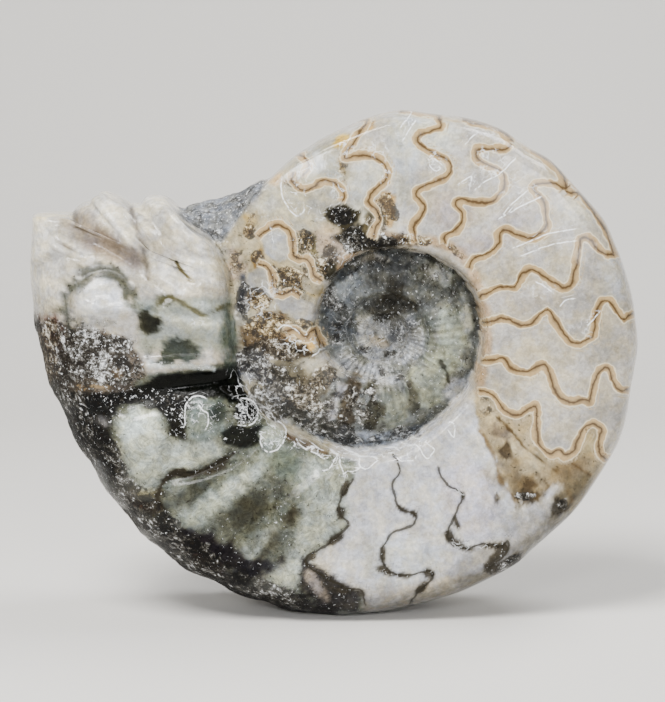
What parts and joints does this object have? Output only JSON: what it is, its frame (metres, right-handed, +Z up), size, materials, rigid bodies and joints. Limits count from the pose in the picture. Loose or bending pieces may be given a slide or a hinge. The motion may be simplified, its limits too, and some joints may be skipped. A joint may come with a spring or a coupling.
{
  "type": "polished ammonite fossil",
  "caption": "Coiled ammonite fossil with ground and polished calcite flanks and visible sutures, standing upright on a small flat spot as a display piece.",
  "frame": {"origin": "middle of the bounding box's underside, level with the flat spot that the fossil stands on", "axes": "+Z up, +X to the viewer's right along the fossil's length when the better polished flank is seen, so that flank faces -Y"},
  "size_m": [0.1106, 0.036, 0.0912],
  "materials": {
    "fossil_stone": "polished"
  },
  "bodies": {
    "root": {"ammonite": "fossil_stone"}
  },
  "joints": []
}
